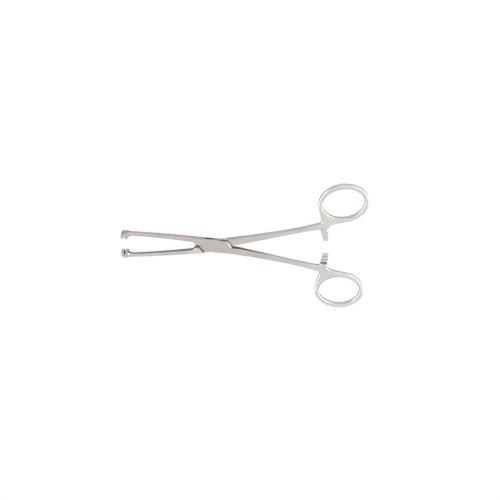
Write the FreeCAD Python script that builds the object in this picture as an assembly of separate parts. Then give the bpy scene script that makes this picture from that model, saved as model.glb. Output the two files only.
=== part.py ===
import FreeCAD, Part
import math
import os

# Tissue forceps with a box lock, three ratchet teeth and two oval finger rings.
# X runs along the instrument (jaws at minus X, rings at plus X), Y runs across it
# and Z is up. Every half is drawn in its closed position about the middle plane,
# then swung open and lifted, so the pivot axis is the Z axis and the underside of
# the lock lies on Z = 0. One half has its jaw at plus Y and its ring at minus Y
# (side = 1); the other half is its mirror image in plan (side = -1).

V = FreeCAD.Vector

# Swing of the halves, in degrees between them
OPEN_REST = 9.8

# Lock
LOCK_HEIGHT = 4.8
LOCK_HALF_WIDTH = 5.2
LOCK_JAW_END = 15.6
LOCK_SHANK_END = 13.0
LOCK_EDGE_ROUND = 0.85
EDGE_OUTER_X = 8.6
EDGE_INNER_X = 12.4
EDGE_CORNER_ROUND = 0.9
EDGE_BEVEL = 0.55
SHOULDER_GAP = 0.40
SPLIT_GAP = 0.10
TONGUE_HEIGHT = 1.7
TONGUE_INSET = 0.15
SLOT_SIDE_GAP = 0.12
SLOT_FACE_GAP = 0.05
PIN_RADIUS = 1.4
PIN_RUNNING_GAP = 0.04

# Jaw stations: place along X, inner edge, outer edge, height in Z, edge radius
JAW_ROOT_STATIONS = (
    (-LOCK_JAW_END, 0.06, LOCK_HALF_WIDTH, LOCK_HEIGHT, LOCK_EDGE_ROUND),
    (-16.2, 0.70, 5.23, 4.72, 0.85),
    (-16.8, 1.42, 5.27, 4.56, 0.88),
    (-17.5, 1.82, 5.31, 4.38, 0.90),
    (-19.2, 1.90, 5.40, 4.15, 0.90),
)
JAW_STATIONS = (
    (-19.2, 1.90, 5.40, 4.15, 0.90),
    (-30.0, 2.18, 5.58, 3.60, 0.90),
    (-41.0, 2.36, 5.60, 3.28, 0.90),
    (-52.0, 2.40, 5.50, 3.00, 0.90),
    (-63.0, 2.17, 5.20, 2.80, 0.90),
)
NECK_STATIONS = (
    (-63.0, 2.17, 5.20, 2.80, 0.90),
    (-64.4, 2.00, 5.12, 2.95, 0.90),
    (-65.6, 1.55, 5.00, 3.50, 0.90),
    (-66.6, 0.98, 4.80, 4.50, 0.90),
    (-67.4, 0.52, 4.55, 5.70, 0.90),
)

# Cross bar at the jaw tip
TIP_END_X = -72.3
TIP_BACK_X = -67.1
TIP_OUTER_Y = 4.7
TIP_WIDTH = 6.4
TIP_OUTER_ROUND = 3.5
TIP_CORNER_ROUND = 1.0
TIP_PRONG_ROUND = 0.3
TIP_SIDE_ROUND = 1.1
TOOTH_PITCH = 1.1
TOOTH_HEIGHT = 0.8
TOOTH_MESH_GAP = 0.10
GROOVE_MOUTH = 1.1
GROOVE_FLOOR = 0.5
GROOVE_DEPTH = 2.6

# Shank from the lock to the stretch of even height, which starts at SHANK_EVEN_X
SHANK_EDGE_ROUND = 1.25
HANDLE_HEIGHT = 3.8
SHANK_EVEN_X = 30.0
SHANK_ROOT_STATIONS = (
    (LOCK_SHANK_END, 0.06, LOCK_HALF_WIDTH, LOCK_HEIGHT, LOCK_EDGE_ROUND),
    (14.6, 0.07, 5.31, 4.74, 0.90),
    (17.5, 0.23, 5.68, 4.54, 1.05),
    (22.5, 0.81, 6.19, 4.18, 1.20),
)
# Shank on to the ring: place along X, middle in Y, width in Y
SHANK_STATIONS = (
    (SHANK_EVEN_X, 4.35, 4.90),
    (43.0, 5.85, 4.40),
    (58.0, 7.85, 3.65),
    (72.0, 9.85, 4.10),
    (84.0, 11.75, 5.20),
)
SHANK_INNER_END = SHANK_STATIONS[-1][1] - SHANK_STATIONS[-1][2] / 2.0

# Finger ring
RING_X = 98.5
RING_Y = 28.9
RING_HOLE_LENGTH = 31.6
RING_HOLE_WIDTH = 23.4
RING_WIRE_AT_END = 3.15
RING_WIRE_AT_SIDE = 3.7
RING_TILT_FEMALE = -2.9
RING_TILT_MALE = 4.5
FEMALE_GRIP_SHIFT = 0.8

# Web between shank, ring and ratchet arm
WEB_OUTER_X = 82.2
WEB_OUTER_Y = 13.6
WEB_OUTER_ROUND = 2.4
WEB_ARM_ROUND = 2.2
WEB_RING_Y = 11.4
WEB_RING_ROUND = 4.5
WEB_NOTCH_DEPTH = 2.0

# Ratchet arm; its grooves and the step at its root set off three teeth
ARM_ROOT_X = 83.6
ARM_END_X = 84.2
ARM_ROOT_WIDTH = 5.1
ARM_END_WIDTH = 3.9
ARM_STUB_Y = 6.2
ARM_STEP_Y = 6.7
ARM_CROSS = 1.1
ARM_FACE_GAP = 0.06
ARM_CORNER_ROUND = 0.6
ARM_EDGE_ROUND = 0.45
RATCHET_GROOVES = 2
RATCHET_PITCH = 2.5
RATCHET_DEPTH = 1.0
RATCHET_FIRST = 2.1
RATCHET_RAMP_END = 0.64
RATCHET_STEEP_END = 0.12

# Derived values
MID_Z = LOCK_HEIGHT / 2.0
SLOT_HALF_HEIGHT = TONGUE_HEIGHT / 2.0 + SLOT_FACE_GAP
EDGE_SLOPE = (EDGE_INNER_X - EDGE_OUTER_X) / LOCK_HALF_WIDTH
RING_OUTER_LENGTH = RING_HOLE_LENGTH + 2.0 * RING_WIRE_AT_END
RING_OUTER_WIDTH = RING_HOLE_WIDTH + 2.0 * RING_WIRE_AT_SIDE
FAR = 40.0
OVERRUN = 1.0


def prism(points, z_low, z_high):
    """Upright prism over a closed polygon given as (x, y) pairs."""
    corners = [V(x, y, z_low) for x, y in points]
    face = Part.Face(Part.makePolygon(corners + corners[:1]))
    return face.extrude(V(0, 0, z_high - z_low))


def turned_points(points):
    """The same points half a turn further round the pivot."""
    return [(-x, -y) for x, y in points]


def sided(points, side):
    """Points of the first half moved to the half named by side."""
    return [(x, side * y) for x, y in points]


def rounded_section(x, y0, y1, height, radius):
    """Closed wire of a rounded rectangle across the X axis."""
    z1 = height / 2.0
    k = radius * (1.0 - math.sqrt(0.5))
    corners = (
        (V(x, y1 - radius, z1), V(x, y1 - k, z1 - k), V(x, y1, z1 - radius)),
        (V(x, y1, radius - z1), V(x, y1 - k, k - z1), V(x, y1 - radius, -z1)),
        (V(x, y0 + radius, -z1), V(x, y0 + k, k - z1), V(x, y0, radius - z1)),
        (V(x, y0, z1 - radius), V(x, y0 + k, z1 - k), V(x, y0 + radius, z1)),
    )
    edges = []
    for i, (start, middle, end) in enumerate(corners):
        edges.append(Part.Arc(start, middle, end).toShape())
        edges.append(Part.makeLine(end, corners[(i + 1) % 4][0]))
    return Part.Wire(edges)


def bar_through(stations, side, last_wires=()):
    """Smooth bar through rounded sections; side moves it across the axis."""
    wires = []
    for x, inner, outer, height, radius in stations:
        low, high = sorted((side * inner, side * outer))
        wires.append(rounded_section(x, low, high, height, radius))
    return Part.makeLoft(wires + list(last_wires), True, False)


def upright_edges(shape, places, reach=0.35):
    """Edges parallel to Z that stand at one of the given (x, y) places."""
    found = []
    for edge in shape.Edges:
        a = edge.Vertexes[0].Point
        b = edge.Vertexes[-1].Point
        upright = abs(a.x - b.x) + abs(a.y - b.y) < 1e-4 and abs(a.z - b.z) > 0.1
        if upright and any(math.hypot(a.x - x, a.y - y) < reach for x, y in places):
            found.append(edge)
    return found


def level_edges(shape, z, keep):
    """Edges lying flat at height z whose middle passes the test keep(x, y)."""
    found = []
    for edge in shape.Edges:
        box = edge.BoundBox
        if abs(box.ZMin - z) > 1e-4 or abs(box.ZMax - z) > 1e-4:
            continue
        middle = edge.valueAt((edge.FirstParameter + edge.LastParameter) / 2.0)
        if keep(middle.x, middle.y):
            found.append(edge)
    return found


def spline_edge(points):
    """Smooth curve through the given (x, y) points in the plane Z = 0."""
    curve = Part.BSplineCurve()
    curve.interpolate([V(x, y, 0) for x, y in points])
    return curve.toShape()


def edge_x(y, gap):
    """Place of the slanted lock edge at height y in plan, moved out by the gap."""
    return EDGE_INNER_X - EDGE_SLOPE * y + gap * math.hypot(1.0, EDGE_SLOPE)


def lock_bar():
    """Rounded bar that both halves' lock bodies are cut from."""
    wire = rounded_section(-LOCK_JAW_END, -LOCK_HALF_WIDTH, LOCK_HALF_WIDTH,
                           LOCK_HEIGHT, LOCK_EDGE_ROUND)
    return Part.Face(wire).extrude(V(LOCK_JAW_END + LOCK_SHANK_END, 0, 0))


def bevelled(body, gap, way):
    """Bevel the slanted edges; way is 1 for the plate and -1 for the shoulder."""
    top_y = LOCK_HALF_WIDTH + OVERRUN
    foot_y = 0.0 if way > 0 else -OVERRUN
    along = V(edge_x(foot_y, gap) - edge_x(top_y, gap), foot_y - top_y, 0)
    out = V(-along.y, along.x, 0)
    out.normalize()
    start = V(edge_x(top_y, gap), top_y, MID_Z)
    corners = [
        start - out * way * EDGE_BEVEL,
        start + out * way * EDGE_BEVEL + V(0, 0, EDGE_BEVEL),
        start - V(0, 0, EDGE_BEVEL),
    ]
    bevel = Part.Face(Part.makePolygon(corners + corners[:1])).extrude(along)
    for turn in (0.0, 180.0):
        for flip in (False, True):
            cutter = bevel.mirror(V(0, 0, 0), V(0, 0, 1)) if flip else bevel.copy()
            cutter.rotate(V(0, 0, 0), V(0, 0, 1), turn)
            body = body.cut(cutter)
    return body


def window_plan():
    """Plan of the way through the slotted lock; its end walls mirror the slanted edges."""
    top_y = LOCK_HALF_WIDTH + OVERRUN
    upper = [(-FAR, 0.0), (-EDGE_INNER_X, 0.0), (-edge_x(top_y, 0.0), top_y), (FAR, top_y)]
    return upper + turned_points(upper)


def tongue():
    """Thin middle of the inner half, which fills the window when closed."""
    split = SPLIT_GAP / 2.0
    edge_y = LOCK_HALF_WIDTH - TONGUE_INSET
    root_x = LOCK_SHANK_END - SPLIT_GAP
    upper = [
        (-edge_x(-split, -SLOT_SIDE_GAP), -split),
        (-edge_x(edge_y, -SLOT_SIDE_GAP), edge_y),
        (root_x, edge_y),
        (root_x, split),
    ]
    return prism(upper + turned_points(upper), -TONGUE_HEIGHT / 2.0, TONGUE_HEIGHT / 2.0)


def female_lock():
    """Two cheeks joined by the roots of jaw and shank, with the window between."""
    split = SPLIT_GAP / 2.0
    plan = []
    for way, end_x in ((1.0, LOCK_SHANK_END), (-1.0, LOCK_JAW_END)):
        quarter = [
            (EDGE_OUTER_X, LOCK_HALF_WIDTH),
            (EDGE_INNER_X, 0.0),
            (EDGE_INNER_X, -split),
            (end_x, -split),
            (end_x, -LOCK_HALF_WIDTH),
        ]
        plan += [(way * x, way * y) for x, y in quarter]
    plate = prism(plan, -MID_Z, MID_Z)
    tips = [plan[0], plan[5]]
    plate = plate.makeFillet(EDGE_CORNER_ROUND, upright_edges(plate, tips))
    body = bevelled(lock_bar().common(plate), 0.0, 1.0)
    body = body.cut(prism(window_plan(), -SLOT_HALF_HEIGHT, SLOT_HALF_HEIGHT))
    return body.cut(Part.makeCylinder(PIN_RADIUS, LOCK_HEIGHT, V(0, 0, -MID_Z)))


def male_lock():
    """Full-height roots of jaw and shank joined by the thin tongue."""
    top_y = LOCK_HALF_WIDTH + OVERRUN
    split = SPLIT_GAP / 2.0
    keep = [
        (edge_x(top_y, SHOULDER_GAP), top_y),
        (edge_x(split, SHOULDER_GAP), split),
        (FAR, split),
        (FAR, top_y),
    ]
    bar = lock_bar()
    roots = [bar.common(prism(p, -MID_Z, MID_Z)) for p in (keep, turned_points(keep))]
    roots = bevelled(roots[0].fuse(roots[1]), SHOULDER_GAP, -1.0)
    body = tongue().fuse(roots).removeSplitter()
    radius = PIN_RADIUS + PIN_RUNNING_GAP
    return body.cut(Part.makeCylinder(radius, LOCK_HEIGHT, V(0, 0, -MID_Z)))


def tip_plan(side):
    """Plan of the cross bar: rounded back, two prongs and the groove between."""
    low = -(TOOTH_HEIGHT - TOOTH_MESH_GAP) / 2.0
    middle = (TIP_END_X + TIP_BACK_X) / 2.0
    mouth = GROOVE_MOUTH / 2.0
    floor = GROOVE_FLOOR / 2.0
    block = prism(sided([(TIP_END_X, low), (TIP_BACK_X, low), (TIP_BACK_X, TIP_OUTER_Y),
                         (TIP_END_X, TIP_OUTER_Y)], side), -TIP_WIDTH, TIP_WIDTH)
    outer = upright_edges(block, [(TIP_END_X, side * TIP_OUTER_Y)])
    block = block.makeFillet(TIP_OUTER_ROUND, outer)
    inner = upright_edges(block, [(TIP_BACK_X, side * TIP_OUTER_Y)])
    block = block.makeFillet(TIP_CORNER_ROUND, inner)
    groove = [
        (middle - mouth, low - OVERRUN),
        (middle + mouth, low - OVERRUN),
        (middle + mouth, low),
        (middle + floor, low + GROOVE_DEPTH),
        (middle - floor, low + GROOVE_DEPTH),
        (middle - mouth, low),
    ]
    block = block.cut(prism(sided(groove, side), -TIP_WIDTH, TIP_WIDTH))
    ends = [(x, side * low) for x in (TIP_END_X, middle - mouth, middle + mouth, TIP_BACK_X)]
    return block.makeFillet(TIP_PRONG_ROUND, upright_edges(block, ends))


def tip_profile(side, teeth):
    """Cross bar seen along the jaw: rounded back and a row of pointed teeth."""
    low = -(TOOTH_HEIGHT - TOOTH_MESH_GAP) / 2.0
    root = low + TOOTH_HEIGHT
    half = TIP_WIDTH / 2.0
    start = -(teeth - 1) / 2.0 * TOOTH_PITCH
    outline = [(half, root), (half, TIP_OUTER_Y), (-half, TIP_OUTER_Y), (-half, root)]
    for i in range(teeth):
        z = start + i * TOOTH_PITCH
        outline.append((z - TOOTH_PITCH / 2.0, root))
        outline.append((z, low))
    outline.append((start + (teeth - 0.5) * TOOTH_PITCH, root))
    corners = [V(TIP_END_X, side * y, z) for z, y in outline]
    distinct = [p for i, p in enumerate(corners) if p.distanceToPoint(corners[i - 1]) > 1e-6]
    face = Part.Face(Part.makePolygon(distinct + distinct[:1]))
    body = face.extrude(V(TIP_BACK_X - TIP_END_X, 0, 0))
    back = []
    for edge in body.Edges:
        box = edge.BoundBox
        along = box.XLength > 1.0
        if along and abs(abs(box.Center.y) - TIP_OUTER_Y) < 0.01:
            back.append(edge)
    return body.makeFillet(TIP_SIDE_ROUND, back)


def jaw(side, teeth):
    """Shoulder, slim springy jaw, flared neck and toothed cross bar."""
    bar = bar_through(JAW_STATIONS, side)
    shoulder = bar_through(JAW_ROOT_STATIONS, side)
    neck = bar_through(NECK_STATIONS, side)
    cross_bar = tip_plan(side).common(tip_profile(side, teeth))
    return bar.fuse([shoulder, neck, cross_bar])


def grip_shift(side):
    """Shift of the ring and the arm along X; the slotted half's lie further out."""
    return FEMALE_GRIP_SHIFT if side < 0 else 0.0


def ring_tangent(ring_x, tilt, x, y, turn):
    """Point where a line from (x, y) touches the ring's outer outline."""
    a = RING_OUTER_LENGTH / 2.0
    b = RING_OUTER_WIDTH / 2.0
    c = math.cos(tilt)
    s = math.sin(tilt)
    dx = x - ring_x
    dy = y - RING_Y
    px = (dx * c + dy * s) / a
    py = (dy * c - dx * s) / b
    angle = math.atan2(py, px) + turn * math.acos(1.0 / math.hypot(px, py))
    ex = a * math.cos(angle)
    ey = b * math.sin(angle)
    return ring_x + ex * c - ey * s, RING_Y + ex * s + ey * c


def ring_disc(side, tilt, length, width, height):
    """Upright oval disc at the ring's place."""
    turn = math.radians(tilt)
    centre = V(RING_X + grip_shift(side), side * RING_Y, -height / 2.0)
    along = V(math.cos(turn), side * math.sin(turn), 0)
    across = V(-math.sin(turn), side * math.cos(turn), 0)
    oval = Part.Ellipse(centre + along * (length / 2.0), centre + across * (width / 2.0), centre)
    return Part.Face(Part.Wire([oval.toShape()])).extrude(V(0, 0, height))


def shank_strip(side):
    """Flat strip of the shank from the even stretch to the ring."""
    outer = [(x, side * (y + w / 2.0)) for x, y, w in SHANK_STATIONS]
    inner = [(x, side * (y - w / 2.0)) for x, y, w in SHANK_STATIONS]
    first = Part.makeLine(V(*inner[0], 0), V(*outer[0], 0))
    last = Part.makeLine(V(*outer[-1], 0), V(*inner[-1], 0))
    wire = Part.Wire([first, spline_edge(outer), last, spline_edge(inner)])
    strip = Part.Face(wire).extrude(V(0, 0, HANDLE_HEIGHT))
    strip.translate(V(0, 0, -HANDLE_HEIGHT / 2.0))
    return strip


def handle_core(side, tilt):
    """Shank, ring and the root of the ratchet arm in one rounded body."""
    half = HANDLE_HEIGHT / 2.0
    turn = math.radians(tilt)
    ring_x = RING_X + grip_shift(side)
    arm_left = ARM_ROOT_X + grip_shift(side) - ARM_ROOT_WIDTH / 2.0
    arm_right = arm_left + ARM_ROOT_WIDTH
    left = ring_tangent(ring_x, turn, WEB_OUTER_X, WEB_OUTER_Y, -1.0)
    right = ring_tangent(ring_x, turn, arm_right, WEB_RING_Y, 1.0)
    web = [
        left,
        (WEB_OUTER_X, WEB_OUTER_Y),
        (arm_left, WEB_OUTER_Y - WEB_NOTCH_DEPTH),
        (arm_left, ARM_STUB_Y),
        (arm_right, ARM_STUB_Y),
        (arm_right, WEB_RING_Y),
        right,
        (ring_x, RING_Y),
    ]
    disc = ring_disc(side, tilt, RING_OUTER_LENGTH, RING_OUTER_WIDTH, HANDLE_HEIGHT)
    body = disc.fuse([shank_strip(side), prism(sided(web, side), -half, half)])
    body = body.removeSplitter()
    rounds = (
        (WEB_OUTER_ROUND, WEB_OUTER_X, WEB_OUTER_Y),
        (WEB_ARM_ROUND, arm_left, SHANK_INNER_END),
        (WEB_RING_ROUND, arm_right, WEB_RING_Y),
    )
    for radius, x, y in rounds:
        body = body.makeFillet(radius, upright_edges(body, [(x, side * y)], 0.6))
    body = body.cut(ring_disc(side, tilt, RING_HOLE_LENGTH, RING_HOLE_WIDTH, HANDLE_HEIGHT))

    def rounded(x, y):
        on_root = abs(x - SHANK_EVEN_X) < 0.01
        on_stub = abs(abs(y) - ARM_STUB_Y) < 0.01 and arm_left < x < arm_right
        return not on_root and not on_stub

    rims = level_edges(body, half, rounded) + level_edges(body, -half, rounded)
    return body.makeFillet(SHANK_EDGE_ROUND, rims)


def arm_layer(side):
    """Lowest and highest Z of the arm; the slotted half's arm is the lower one."""
    outer_z = HANDLE_HEIGHT / 2.0
    face_z = ARM_FACE_GAP / 2.0
    return (face_z, outer_z) if side > 0 else (-outer_z, -face_z)


def ratchet_arm(side):
    """Thin arm of half the handle's height, before its teeth are cut."""
    low, high = arm_layer(side)
    root_x = ARM_ROOT_X + grip_shift(side)
    end_x = ARM_END_X + grip_shift(side)
    plan = [
        (root_x + ARM_ROOT_WIDTH / 2.0, ARM_STUB_Y),
        (end_x + ARM_END_WIDTH / 2.0, -ARM_CROSS),
        (end_x - ARM_END_WIDTH / 2.0, -ARM_CROSS),
        (root_x - ARM_ROOT_WIDTH / 2.0, ARM_STUB_Y),
    ]
    arm = prism(sided(plan, side), low, high)
    ends = [(x, side * y) for x, y in plan[1:3]]
    arm = arm.makeFillet(ARM_CORNER_ROUND, upright_edges(arm, ends))
    back_z = high if side > 0 else low
    free = level_edges(arm, back_z, lambda x, y: abs(y) < ARM_STUB_Y)
    return arm.makeFillet(ARM_EDGE_ROUND, free)


def ratchet_cuts(side):
    """Cutters for the step down to the arm's face and for the grooves in it."""
    face_z = side * ARM_FACE_GAP / 2.0
    span = 4.0 * ARM_ROOT_WIDTH
    left = ARM_ROOT_X - span / 2.0
    step_y = side * (ARM_STEP_Y - span)
    step = Part.makeBox(span, span, HANDLE_HEIGHT)
    corner_y = min(step_y, side * ARM_STEP_Y)
    corner_z = face_z - HANDLE_HEIGHT if side > 0 else face_z
    step.translate(V(left, corner_y, corner_z))
    cuts = [step]
    for i in range(RATCHET_GROOVES):
        y = -ARM_CROSS + RATCHET_FIRST + i * RATCHET_PITCH
        notch = [
            V(left, side * y, face_z),
            V(left, side * (y + RATCHET_PITCH * RATCHET_RAMP_END), face_z),
            V(left, side * (y + RATCHET_PITCH * RATCHET_STEEP_END), face_z + side * RATCHET_DEPTH),
        ]
        cuts.append(Part.Face(Part.makePolygon(notch + notch[:1])).extrude(V(span, 0, 0)))
    return cuts


def handle(side, tilt):
    """Shank, ring and ratchet arm of one half."""
    core = handle_core(side, tilt)
    start = min(core.Faces, key=lambda face: face.BoundBox.XMax)
    root = bar_through(SHANK_ROOT_STATIONS, side, [start.OuterWire])
    return [root, core.fuse(ratchet_arm(side)).cut(ratchet_cuts(side))]


def set_open(shape, degrees):
    """Swing a half about the pivot and lift it onto the plane Z = 0."""
    shape.rotate(V(0, 0, 0), V(0, 0, 1), degrees)
    shape.translate(V(0, 0, MID_Z))
    return shape


def female_half():
    """Half with the slotted lock: jaw at plus Y, ring at minus Y."""
    body = female_lock().fuse([jaw(1, 5)] + handle(-1, RING_TILT_FEMALE))
    return set_open(body, -OPEN_REST / 2.0)


def male_half():
    """Half that runs through the slot: jaw at minus Y, ring at plus Y."""
    body = male_lock().fuse([jaw(-1, 6)] + handle(1, RING_TILT_MALE))
    return set_open(body, OPEN_REST / 2.0)


def lock_pin():
    """Plain pin riveted flush with both cheeks."""
    return Part.makeCylinder(PIN_RADIUS, LOCK_HEIGHT)


def main():
    os.makedirs("parts", exist_ok=True)
    nodes = {"female_half": female_half, "male_half": male_half, "lock_pin": lock_pin}
    for name, make in nodes.items():
        shape = make()
        shape.exportStep("parts/" + name + ".step")


main()
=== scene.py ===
"""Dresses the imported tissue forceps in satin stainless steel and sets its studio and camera."""

import math

import bmesh
import bpy
from bpy.props import FloatProperty, FloatVectorProperty, PointerProperty
from mathutils import Euler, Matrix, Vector


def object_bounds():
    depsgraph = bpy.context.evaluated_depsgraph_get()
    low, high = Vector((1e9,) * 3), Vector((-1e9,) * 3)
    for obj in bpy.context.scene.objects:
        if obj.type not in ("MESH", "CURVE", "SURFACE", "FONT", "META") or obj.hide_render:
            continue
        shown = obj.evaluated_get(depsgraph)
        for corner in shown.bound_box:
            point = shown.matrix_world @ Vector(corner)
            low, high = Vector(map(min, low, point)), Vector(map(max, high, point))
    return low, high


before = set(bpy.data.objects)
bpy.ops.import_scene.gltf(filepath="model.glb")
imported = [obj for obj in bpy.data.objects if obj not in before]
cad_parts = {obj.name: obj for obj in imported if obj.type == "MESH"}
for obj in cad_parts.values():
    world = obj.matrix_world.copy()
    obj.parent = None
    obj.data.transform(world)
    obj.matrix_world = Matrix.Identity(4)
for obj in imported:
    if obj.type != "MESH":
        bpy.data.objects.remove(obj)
CAD_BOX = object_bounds()

bl_info = {
    "name": "Tissue forceps",
    "version": (1, 0, 0),
    "blender": (4, 5, 0),
    "location": "View3D > Sidebar > Forceps",
    "description": "Satin steel finish, studio and camera for a box-lock tissue forceps",
    "category": "Object",
}

MM = 0.001
SENSOR_WIDTH = 36.0

# Each half, its material slot in the record, and the side its ring lies on: 1 is plus Y
HALVES = (
    ("female_half", "steel_slotted_half", -1.0),
    ("male_half", "steel_inner_half", 1.0),
)
PIN = ("lock_pin", "steel_pin")

# Turn of each half from closed to rest, and slope of a shank when closed
HALF_SWING = math.radians(4.9)
SHANK_SLOPE = math.tan(math.radians(7.8))

# Middle of a ring on the closed half, and how flat its oval is
RING_MIDDLE = (98.9 * MM, 28.9 * MM)
RING_OVAL = 0.74

# Distances along the closed half from the pin, from where a finish, a painted shade or a
# painted highlight starts to change to where it has changed
PAST_THE_PIN = (-3.0 * MM, 3.0 * MM)
INNER_SIDE_ENDS = (24.0 * MM, 46.0 * MM)
SHOULDER_STARTS = (-25.0 * MM, -20.5 * MM)
SHOULDER_ENDS = (-6.0 * MM, -8.0 * MM)
TOWARD_GRIP_PAINTED_HIGHLIGHT = (30.0 * MM, 92.0 * MM)
ONTO_RING = (74.0 * MM, 82.0 * MM)

# How squarely a surface faces a way before it counts as facing it, from none to all
INNER_SIDE_FACING = (0.55, 0.95)
SLANT_FACING = (0.15, 0.35)

# Part of a noise's range that holds nearly all its values
NOISE_MIDDLE = (0.3, 0.7)
# Share of open sky that counts as a crevice for painted shade, and that counts as open
CREVICE_PAINTED_SHADE_SKY = (0.3, 0.8)
CLOUD_SIZE = 14.0 * MM
CLOUD_TONE = (0.97, 1.03)
RELIEF_STRENGTH = 0.08
RELIEF_HEIGHT = 0.02 * MM

# Grain of the two painted boards, and its tones
BOARD_GRAIN = 3.0 * MM
BOARD_TONE = (0.99, 1.01)
CARD_GRAIN = 8.0 * MM
CARD_TONE = (0.97, 1.03)
# Share of plain white in the floor that the camera sees, and how much of it the steel mirrors
FLOOR_WHITE = 0.92
FLOOR_MIRRORED = 0.2


def linear(hex_colour):
    """Linear red, green and blue of an sRGB hex colour."""
    parts = [int(hex_colour[i:i + 2], 16) / 255.0 for i in (1, 3, 5)]
    return [c / 12.92 if c <= 0.04045 else ((c + 0.055) / 1.055) ** 2.4 for c in parts]


def add(tree, kind, inputs=None, **settings):
    """Add a node with its settings; an input is a value or the socket linked to it."""
    node = tree.nodes.new(kind)
    for name, value in settings.items():
        setattr(node, name, value)
    for name, value in (inputs or {}).items():
        if isinstance(value, bpy.types.NodeSocket):
            tree.links.new(value, node.inputs[name])
        else:
            node.inputs[name].default_value = value
    return node


def calculate(tree, operation, *values, **settings):
    """Result of one calculation on values or sockets."""
    node = add(tree, "ShaderNodeMath", dict(enumerate(values)), operation=operation, **settings)
    return node.outputs["Value"]


def ramp(tree, value, start_end, low=0.0, high=1.0):
    """Value that runs evenly from low to high between a start and an end."""
    node = add(tree, "ShaderNodeMapRange", {
        "Value": value, "From Min": start_end[0], "From Max": start_end[1],
        "To Min": low, "To Max": high})
    return node.outputs["Result"]


def noise(tree, vector, scale, detail, roughness=0.5):
    """Noise between 0 and 1."""
    node = add(tree, "ShaderNodeTexNoise", {
        "Vector": vector, "Scale": scale, "Detail": detail, "Roughness": roughness})
    return node.outputs["Fac"]


def shaded(tree, colour, tone):
    """Colour made darker or lighter by a tone."""
    node = add(tree, "ShaderNodeVectorMath", {0: colour, "Scale": tone}, operation="SCALE")
    return node.outputs["Vector"]


def mixed_colour(tree, share, first, second):
    """Mix of two colours, all second where the share is 1."""
    node = add(tree, "ShaderNodeMix", {"Factor": share, "A": first, "B": second}, data_type="RGBA")
    return node.outputs["Result"]


def new_material(name):
    """Empty node material with its tree."""
    material = bpy.data.materials.new(name)
    material.use_nodes = True
    material.node_tree.nodes.clear()
    return material, material.node_tree


def dress(node_name, material):
    """Give a CAD node the finished material in every place."""
    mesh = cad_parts[node_name].data
    mesh.materials.clear()
    mesh.materials.append(material)


class SteelSettings(bpy.types.PropertyGroup):
    """Colours and finish of the steel, and its painted highlights and shade."""

    lock_colour: FloatVectorProperty(
        name="Lock colour", description="Blasted and brushed steel of the slotted half and the pin",
        subtype="COLOR", size=3, min=0.0, max=1.0, default=linear("#BAB3AF"))
    inner_lock_colour: FloatVectorProperty(
        name="Inner half colour", description="Lighter steel of the inner half's jaw and shank",
        subtype="COLOR", size=3, min=0.0, max=1.0, default=linear("#BEB9B5"))
    # Ring colour: the steel's own colour, made lighter than the lock as a painted highlight
    grip_colour_with_painted_highlight: FloatVectorProperty(
        name="Grip colour", description="Finer brushed, lighter steel of the finger rings",
        subtype="COLOR", size=3, min=0.0, max=1.0, default=linear("#CDCAC7"))
    # Painted shade in gaps and tooth roots
    crevice_painted_shade_colour: FloatVectorProperty(
        name="Crevice colour", description="Steel in gaps and tooth roots, where no wheel reaches",
        subtype="COLOR", size=3, min=0.0, max=1.0, default=linear("#88837F"))
    # Painted shade: a dark tint at glancing angles that draws the outline
    glancing_edge_painted_shade_colour: FloatVectorProperty(
        name="Edge colour", description="Tint of the steel where it is seen at a glancing angle",
        subtype="COLOR", size=3, min=0.0, max=1.0, default=linear("#7A7876"))
    # Painted shade on the sides that face the other half
    painted_inner_shade: FloatProperty(
        name="Inner side shade", description="Tone of the ground sides that face the other half",
        subtype="FACTOR", min=0.0, max=1.0, default=0.56)
    # Painted highlight on the inner half's shoulder top
    shoulder_painted_highlight: FloatProperty(
        name="Shoulder tone", description="Lighter tone of the polished shoulder before the slot",
        min=0.0, default=1.2)
    # Painted shade on that shoulder's slanted end
    slant_painted_shade: FloatProperty(
        name="Slant tone", description="Tone of that shoulder's slanted end, which stays dull",
        min=0.0, default=0.35)
    roughness: FloatProperty(
        name="Roughness", description="Middle roughness of the satin finish",
        subtype="FACTOR", min=0.0, max=1.0, default=0.24)
    roughness_spread: FloatProperty(
        name="Roughness spread", description="How much the finish varies along brush marks",
        subtype="FACTOR", min=0.0, max=1.0, default=0.08)
    brush_width: FloatProperty(
        name="Brush mark width", description="Width of one visible brush mark",
        unit="LENGTH", min=0.1 * MM, default=0.9 * MM)
    brush_length: FloatProperty(
        name="Brush mark length", description="Length of one visible brush mark",
        unit="LENGTH", min=0.1 * MM, default=24.0 * MM)
    brush_tone: FloatProperty(
        name="Brush mark tone", description="How much lighter or darker a brush mark is",
        subtype="FACTOR", min=0.0, max=1.0, default=0.10)
    blast_grain: FloatProperty(
        name="Blast grain", description="Size of the pits that bead blasting leaves",
        unit="LENGTH", min=0.01 * MM, default=0.22 * MM)
    # How far the painted shade in gaps and tooth roots reaches
    crevice_painted_shade_reach: FloatProperty(
        name="Crevice reach", description="How far from a corner the darker steel reaches",
        unit="LENGTH", min=0.0, default=1.6 * MM)


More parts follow.
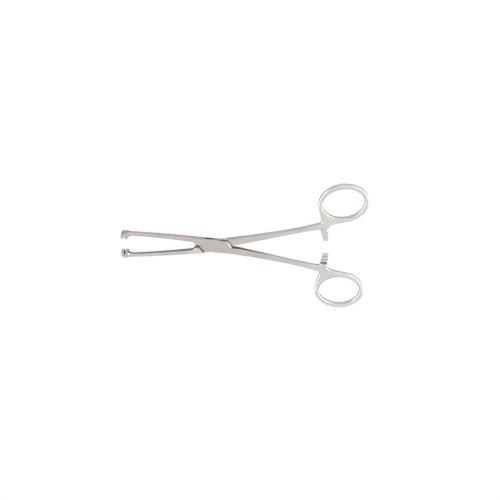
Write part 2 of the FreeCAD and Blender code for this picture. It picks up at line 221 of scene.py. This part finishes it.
class StudioSettings(bpy.types.PropertyGroup):
    """Floor, lamps and camera."""

    floor_colour: FloatVectorProperty(
        name="Floor colour", description="Matt white studio board",
        subtype="COLOR", size=3, min=0.0, max=1.0, default=linear("#F3F2F1"))
    floor_size: FloatProperty(
        name="Floor size", description="Side of the studio board",
        unit="LENGTH", min=0.1, default=4.0)
    camera_target: FloatVectorProperty(
        name="Camera target", description="Point in the middle of the picture",
        subtype="XYZ", unit="LENGTH", size=3, default=(26.36 * MM, -3.56 * MM, 2.4 * MM))
    camera_distance: FloatProperty(
        name="Camera distance", description="From the lens to the target",
        unit="LENGTH", min=0.1, default=0.766)
    camera_tilt: FloatProperty(
        name="Camera tilt", description="Angle between the line of sight and straight down",
        unit="ROTATION", default=math.radians(27.5))
    camera_turn: FloatProperty(
        name="Camera turn", description="Turn of the camera about the upright axis",
        unit="ROTATION", default=math.radians(1.035))
    lens: FloatProperty(
        name="Lens", description="Focal length on a 36 mm sensor",
        unit="CAMERA", min=1.0, default=72.0)
    room_light: FloatProperty(
        name="Room light", description="Level of the white room on matt things",
        min=0.0, default=1.0)
    card_colour: FloatVectorProperty(
        name="Card colour", description="Grey card behind the camera, seen only by the steel",
        subtype="COLOR", size=3, min=0.0, max=1.0, default=linear("#A6A6A5"))
    card_place: FloatVectorProperty(
        name="Card place", description="Middle of the grey card's lower edge",
        subtype="XYZ", unit="LENGTH", size=3, default=(-0.17, 0.42, 0.0))
    card_width: FloatProperty(
        name="Card width", description="Along the instrument",
        unit="LENGTH", min=0.1, default=0.3)
    card_height: FloatProperty(
        name="Card height", description="From its lower edge up",
        unit="LENGTH", min=0.1, default=0.42)
    top_power: FloatProperty(
        name="Top light", description="Large soft box above the far side",
        unit="POWER", min=0.0, default=0.15)
    strip_power: FloatProperty(
        name="Strip light", description="Narrow light above, which draws a line on rounded edges",
        unit="POWER", min=0.0, default=0.5)
    far_power: FloatProperty(
        name="Far light", description="Low soft box on the far side",
        unit="POWER", min=0.0, default=0.35)
    side_power: FloatProperty(
        name="Side lights", description="Each of the two low soft boxes, which light the flanks",
        unit="POWER", min=0.0, default=5.5)


def closed_place(tree, side):
    """Object coordinates turned back to the closed half, and the way across its bars."""
    place = add(tree, "ShaderNodeTexCoord")
    closed = add(tree, "ShaderNodeMapping", {
        "Vector": place.outputs["Object"], "Rotation": (0.0, 0.0, -side * HALF_SWING)})
    parts = add(tree, "ShaderNodeSeparateXYZ", {"Vector": closed.outputs["Vector"]})
    shank = calculate(tree, "MAXIMUM", parts.outputs["X"], 0.0)
    across = calculate(tree, "MULTIPLY_ADD", shank, -side * SHANK_SLOPE, parts.outputs["Y"])
    return place, parts, across


def painted_shade_on_inner_side(tree, place, parts, side):
    """Mask of the flat sides of jaw and shank that face the other half, where painted shade darkens
    the steel.
    """
    normal = add(tree, "ShaderNodeSeparateXYZ", {"Vector": place.outputs["Normal"]})
    other_half = ramp(tree, parts.outputs["X"], PAST_THE_PIN, side, -side)
    facing = calculate(tree, "MULTIPLY", normal.outputs["Y"], other_half)
    flat = ramp(tree, facing, INNER_SIDE_FACING)
    near_lock = ramp(tree, parts.outputs["X"], INNER_SIDE_ENDS, 1.0, 0.0)
    return calculate(tree, "MULTIPLY", flat, near_lock)


def shoulder_painted_light_and_shade(tree, place, parts, steel):
    """Tone of the inner half's shoulder before the slot: a painted highlight on its top, painted
    shade on its slanted end.
    """
    jaw_end = ramp(tree, parts.outputs["X"], SHOULDER_STARTS)
    lock_end = ramp(tree, parts.outputs["X"], SHOULDER_ENDS)
    here = calculate(tree, "MULTIPLY", jaw_end, lock_end)
    normal = add(tree, "ShaderNodeSeparateXYZ", {"Vector": place.outputs["Normal"]})
    # Painted highlight on the shoulder top, painted shade on its slanted end
    finish = ramp(tree, normal.outputs["X"], SLANT_FACING, steel.shoulder_painted_highlight, steel.slant_painted_shade)
    return ramp(tree, here, (0.0, 1.0), 1.0, finish)


def bar_marks(tree, parts, across, steel):
    """Brush marks that run along jaw, lock and shank."""
    along = add(tree, "ShaderNodeCombineXYZ", {
        "X": calculate(tree, "MULTIPLY", parts.outputs["X"], 1.0 / steel.brush_length),
        "Y": calculate(tree, "MULTIPLY", across, 1.0 / steel.brush_width),
        "Z": calculate(tree, "MULTIPLY", parts.outputs["Z"], 1.0 / steel.brush_width)})
    return noise(tree, along.outputs["Vector"], 1.0, 3.0, 0.6)


def ring_marks(tree, parts, side, steel):
    """Brush marks that run round the finger ring."""
    flat = add(tree, "ShaderNodeCombineXYZ", {"X": parts.outputs["X"], "Y": parts.outputs["Y"]})
    away = add(tree, "ShaderNodeVectorMath", {
        0: flat.outputs["Vector"], 1: (RING_MIDDLE[0], side * RING_MIDDLE[1], 0.0)},
        operation="SUBTRACT")
    oval = add(tree, "ShaderNodeVectorMath", {
        0: away.outputs["Vector"], 1: (RING_OVAL, 1.0, 1.0)}, operation="MULTIPLY")
    radius = add(tree, "ShaderNodeVectorMath", {0: oval.outputs["Vector"]}, operation="LENGTH")
    round_way = add(tree, "ShaderNodeVectorMath", {
        0: oval.outputs["Vector"]}, operation="NORMALIZE")
    outward = calculate(tree, "MULTIPLY", radius.outputs["Value"], 1.0 / steel.brush_width)
    lift = add(tree, "ShaderNodeCombineXYZ", {"Z": outward})
    at = add(tree, "ShaderNodeVectorMath", {
        0: round_way.outputs["Vector"], 1: lift.outputs["Vector"]}, operation="ADD")
    return noise(tree, at.outputs["Vector"], 1.0, 2.0)


def satin_steel(name, side, steel):
    """Bead-blasted and brushed stainless steel.

    Fine pits and long soft brush marks give broad, milky highlights with no mirror
    image. The rings are brushed round, and their lighter colour than the lock is a
    painted highlight. The sides that face the other half, the gaps and the tooth roots
    are darker with painted shade; the inner half's shoulder before the slot carries a
    painted highlight on its top and painted shade on its slanted end. Edges seen at a
    glancing angle darken with a painted shade, which draws the outline.
    """
    material, tree = new_material(name)
    place, parts, across = closed_place(tree, side)
    on_ring = ramp(tree, parts.outputs["X"], ONTO_RING)
    both_marks = add(tree, "ShaderNodeMix", {
        "Factor": on_ring, "A": bar_marks(tree, parts, across, steel),
        "B": ring_marks(tree, parts, side, steel)}, data_type="FLOAT")
    marks = both_marks.outputs["Result"]
    pits = noise(tree, place.outputs["Object"], 1.0 / steel.blast_grain, 1.0)
    clouds = noise(tree, place.outputs["Object"], 1.0 / CLOUD_SIZE, 2.0)

    half_spread = steel.roughness_spread / 2.0
    roughness = ramp(
        tree, marks, NOISE_MIDDLE, steel.roughness - half_spread, steel.roughness + half_spread)
    tones = [
        ramp(tree, clouds, NOISE_MIDDLE, *CLOUD_TONE),
        ramp(tree, marks, NOISE_MIDDLE, 1.0 - steel.brush_tone, 1.0 + steel.brush_tone),
        # Painted shade on the sides that face the other half
        ramp(tree, painted_shade_on_inner_side(tree, place, parts, side), (0.0, 1.0), 1.0, steel.painted_inner_shade),
    ]
    near_lock = steel.lock_colour
    if side > 0.0:
        near_lock = steel.inner_lock_colour
        # Painted highlight and painted shade on the inner half's shoulder
        tones.append(shoulder_painted_light_and_shade(tree, place, parts, steel))
    tone = tones[0]
    for next_tone in tones[1:]:
        tone = calculate(tree, "MULTIPLY", tone, next_tone)

    # Lighter toward the rings: a painted highlight
    painted_highlight_toward_grip = ramp(tree, parts.outputs["X"], TOWARD_GRIP_PAINTED_HIGHLIGHT)
    steel_colour = mixed_colour(
        tree, painted_highlight_toward_grip, (*near_lock, 1.0), (*steel.grip_colour_with_painted_highlight, 1.0))
    shade = shaded(tree, steel_colour, tone)
    # Painted shade in gaps and tooth roots, darker where a point sees less open sky
    open_sky = add(tree, "ShaderNodeAmbientOcclusion", {
        "Distance": steel.crevice_painted_shade_reach}, samples=8, only_local=True)
    outside_painted_shade = ramp(tree, open_sky.outputs["AO"], CREVICE_PAINTED_SHADE_SKY)
    base = mixed_colour(tree, outside_painted_shade, (*steel.crevice_painted_shade_colour, 1.0), shade)
    bump = add(tree, "ShaderNodeBump", {
        "Height": calculate(tree, "ADD", marks, pits),
        "Strength": RELIEF_STRENGTH, "Distance": RELIEF_HEIGHT})
    # The dark specular tint at glancing angles is painted shade that draws the outline
    surface = add(tree, "ShaderNodeBsdfPrincipled", {
        "Base Color": base, "Metallic": 1.0, "Specular Tint": (*steel.glancing_edge_painted_shade_colour, 1.0),
        "Roughness": roughness, "Normal": bump.outputs["Normal"]})
    add(tree, "ShaderNodeOutputMaterial", {"Surface": surface.outputs["BSDF"]})
    return material


def painted(tree, colour, grain, tones):
    """Matt paint with a faint grain."""
    place = add(tree, "ShaderNodeTexCoord")
    spots = noise(tree, place.outputs["Object"], 1.0 / grain, 2.0)
    tone = ramp(tree, spots, (0.0, 1.0), *tones)
    paint = add(tree, "ShaderNodeBsdfDiffuse", {"Color": shaded(tree, list(colour), tone)})
    return paint.outputs["BSDF"]


def studio_board(name, colour):
    """Matt white painted board: no gloss, a faint paper grain, and a soft shadow."""
    material, tree = new_material(name)
    board = painted(tree, colour, BOARD_GRAIN, BOARD_TONE)
    white = add(tree, "ShaderNodeEmission", {"Color": (1.0, 1.0, 1.0, 1.0), "Strength": 1.0})
    path = add(tree, "ShaderNodeLightPath")
    seen = calculate(
        tree, "MULTIPLY_ADD", path.outputs["Is Glossy Ray"], FLOOR_MIRRORED,
        path.outputs["Is Camera Ray"])
    clear = calculate(tree, "ADD", seen, path.outputs["Is Transmission Ray"], use_clamp=True)
    share = calculate(tree, "MULTIPLY", clear, FLOOR_WHITE)
    mixed = add(tree, "ShaderNodeMixShader", {0: share, 1: board, 2: white.outputs["Emission"]})
    add(tree, "ShaderNodeOutputMaterial", {"Surface": mixed.outputs["Shader"]})
    return material


def grey_card(name, colour):
    """Matt grey painted card with a faint roller texture, which the steel mirrors as grey."""
    material, tree = new_material(name)
    add(tree, "ShaderNodeOutputMaterial", {
        "Surface": painted(tree, colour, CARD_GRAIN, CARD_TONE)})
    return material


def stage_piece(context, bm, name, material):
    """Make a piece of the stage from a mesh under work."""
    mesh = bpy.data.meshes.new(name)
    bm.to_mesh(mesh)
    bm.free()
    piece = bpy.data.objects.new(name, mesh)
    mesh.materials.append(material)
    context.scene.collection.objects.link(piece)
    return piece


class FORCEPS_OT_halves(bpy.types.Operator):
    """Finish both forged halves in satin stainless steel"""

    bl_idname = "forceps.halves"
    bl_label = "Finish halves"

    def execute(self, context):
        steel = context.scene.forceps_steel
        for node_name, slot, side in HALVES:
            dress(node_name, satin_steel("satin_stainless_" + slot, side, steel))
        return {"FINISHED"}


class FORCEPS_OT_pin(bpy.types.Operator):
    """Finish the lock pin as a rivet ground flush with the lock"""

    bl_idname = "forceps.pin"
    bl_label = "Finish pin"

    def execute(self, context):
        node_name, slot = PIN
        finish = satin_steel("ground_stainless_" + slot, 0.0, context.scene.forceps_steel)
        dress(node_name, finish)
        return {"FINISHED"}


class FORCEPS_OT_stage(bpy.types.Operator):
    """Lay the studio board, hang the lamps and set the camera"""

    bl_idname = "forceps.stage"
    bl_label = "Set stage"

    def execute(self, context):
        studio = context.scene.forceps_studio
        self.lay_floor(context, studio)
        self.set_world(context, studio.room_light)
        self.stand_card(context, studio)
        self.hang_lamps(context, studio)
        self.set_camera(context, studio)
        context.scene.view_settings.view_transform = "Standard"
        return {"FINISHED"}

    def lay_floor(self, context, studio):
        """White board under the part's lowest point."""
        bm = bmesh.new()
        bmesh.ops.create_grid(bm, x_segments=1, y_segments=1, size=studio.floor_size / 2.0)
        bmesh.ops.translate(bm, verts=bm.verts, vec=(0.0, 0.0, CAD_BOX[0][2]))
        board = studio_board("painted_white_board", studio.floor_colour)
        stage_piece(context, bm, "studio_board", board)

    def set_world(self, context, level):
        """White room, plain white wherever the camera or the steel looks into it."""
        world = bpy.data.worlds.new("soft_white_room")
        context.scene.world = world
        world.use_nodes = True
        tree = world.node_tree
        tree.nodes.clear()
        path = add(tree, "ShaderNodeLightPath")
        seen = calculate(tree, "ADD", path.outputs["Is Camera Ray"], path.outputs["Is Glossy Ray"])
        clear = calculate(tree, "ADD", seen, path.outputs["Is Transmission Ray"], use_clamp=True)
        room = add(tree, "ShaderNodeBackground", {
            "Color": (1.0, 1.0, 1.0, 1.0), "Strength": ramp(tree, clear, (0.0, 1.0), level, 1.0)})
        add(tree, "ShaderNodeOutputWorld", {"Surface": room.outputs["Background"]})

    def stand_card(self, context, studio):
        """Upright card that only the steel sees."""
        bm = bmesh.new()
        bmesh.ops.create_grid(bm, x_segments=1, y_segments=1, size=0.5)
        upright = Euler((math.radians(90.0), 0.0, 0.0)).to_matrix().to_4x4()
        bmesh.ops.transform(bm, matrix=upright, verts=bm.verts)
        bmesh.ops.scale(bm, vec=(studio.card_width, 1.0, studio.card_height), verts=bm.verts)
        middle = Vector(studio.card_place) + Vector((0.0, 0.0, studio.card_height / 2.0))
        bmesh.ops.translate(bm, verts=bm.verts, vec=middle)
        card = stage_piece(
            context, bm, "grey_card", grey_card("painted_grey_card", studio.card_colour))
        card.visible_camera = False
        card.visible_shadow = False

    def hang_lamps(self, context, studio):
        """Soft boxes, each with its place, its width and height, and its power."""
        lamps = (
            ("top_soft_box", (0.02, -0.45, 0.80), (0.9, 0.5), studio.top_power),
            ("strip_light", (0.03, 0.22, 0.90), (0.9, 0.16), studio.strip_power),
            ("far_soft_box", (0.03, -0.80, 0.34), (1.2, 0.3), studio.far_power),
            ("left_soft_box", (-0.75, 0.15, 0.28), (1.7, 0.45), studio.side_power),
            ("right_soft_box", (0.80, 0.15, 0.28), (1.7, 0.45), studio.side_power),
        )
        for name, place, size, power in lamps:
            light = bpy.data.lights.new(name, "AREA")
            light.shape = "RECTANGLE"
            light.size, light.size_y = size
            light.energy = power
            lamp = bpy.data.objects.new(name, light)
            lamp.location = place
            aim = Vector(studio.camera_target) - Vector(place)
            lamp.rotation_euler = aim.to_track_quat("-Z", "Y").to_euler()
            context.scene.collection.objects.link(lamp)

    def set_camera(self, context, studio):
        """Camera on the ring side of the inner half, leaning over the instrument."""
        data = bpy.data.cameras.new("photo_view")
        data.sensor_width = SENSOR_WIDTH
        data.lens = studio.lens
        data.clip_start = 0.01
        data.clip_end = 20.0
        turn = Euler((-studio.camera_tilt, 0.0, studio.camera_turn), "XYZ")
        away = Vector((0.0, 0.0, studio.camera_distance))
        away.rotate(turn)
        camera = bpy.data.objects.new("photo_view", data)
        camera.location = Vector(studio.camera_target) + away
        camera.rotation_euler = turn
        context.scene.collection.objects.link(camera)
        context.scene.camera = camera


class FORCEPS_PT_panel(bpy.types.Panel):
    """Sizes, colours and steps of the forceps"""

    bl_idname = "FORCEPS_PT_panel"
    bl_label = "Tissue forceps"
    bl_space_type = "VIEW_3D"
    bl_region_type = "UI"
    bl_category = "Forceps"

    def draw(self, context):
        for group in (context.scene.forceps_steel, context.scene.forceps_studio):
            box = self.layout.box()
            for name in group.bl_rna.properties.keys():
                if name not in ("rna_type", "name"):
                    box.prop(group, name)
        for operator in OPERATORS:
            self.layout.operator(operator.bl_idname)


OPERATORS = (FORCEPS_OT_halves, FORCEPS_OT_pin, FORCEPS_OT_stage)
CLASSES = (SteelSettings, StudioSettings) + OPERATORS + (FORCEPS_PT_panel,)


def register():
    for cls in CLASSES:
        bpy.utils.register_class(cls)
    bpy.types.Scene.forceps_steel = PointerProperty(type=SteelSettings)
    bpy.types.Scene.forceps_studio = PointerProperty(type=StudioSettings)


def unregister():
    del bpy.types.Scene.forceps_studio
    del bpy.types.Scene.forceps_steel
    for cls in reversed(CLASSES):
        bpy.utils.unregister_class(cls)


def main():
    register()
    bpy.ops.forceps.halves()
    bpy.ops.forceps.pin()
    bpy.ops.forceps.stage()


if __name__ == "__main__":
    main()
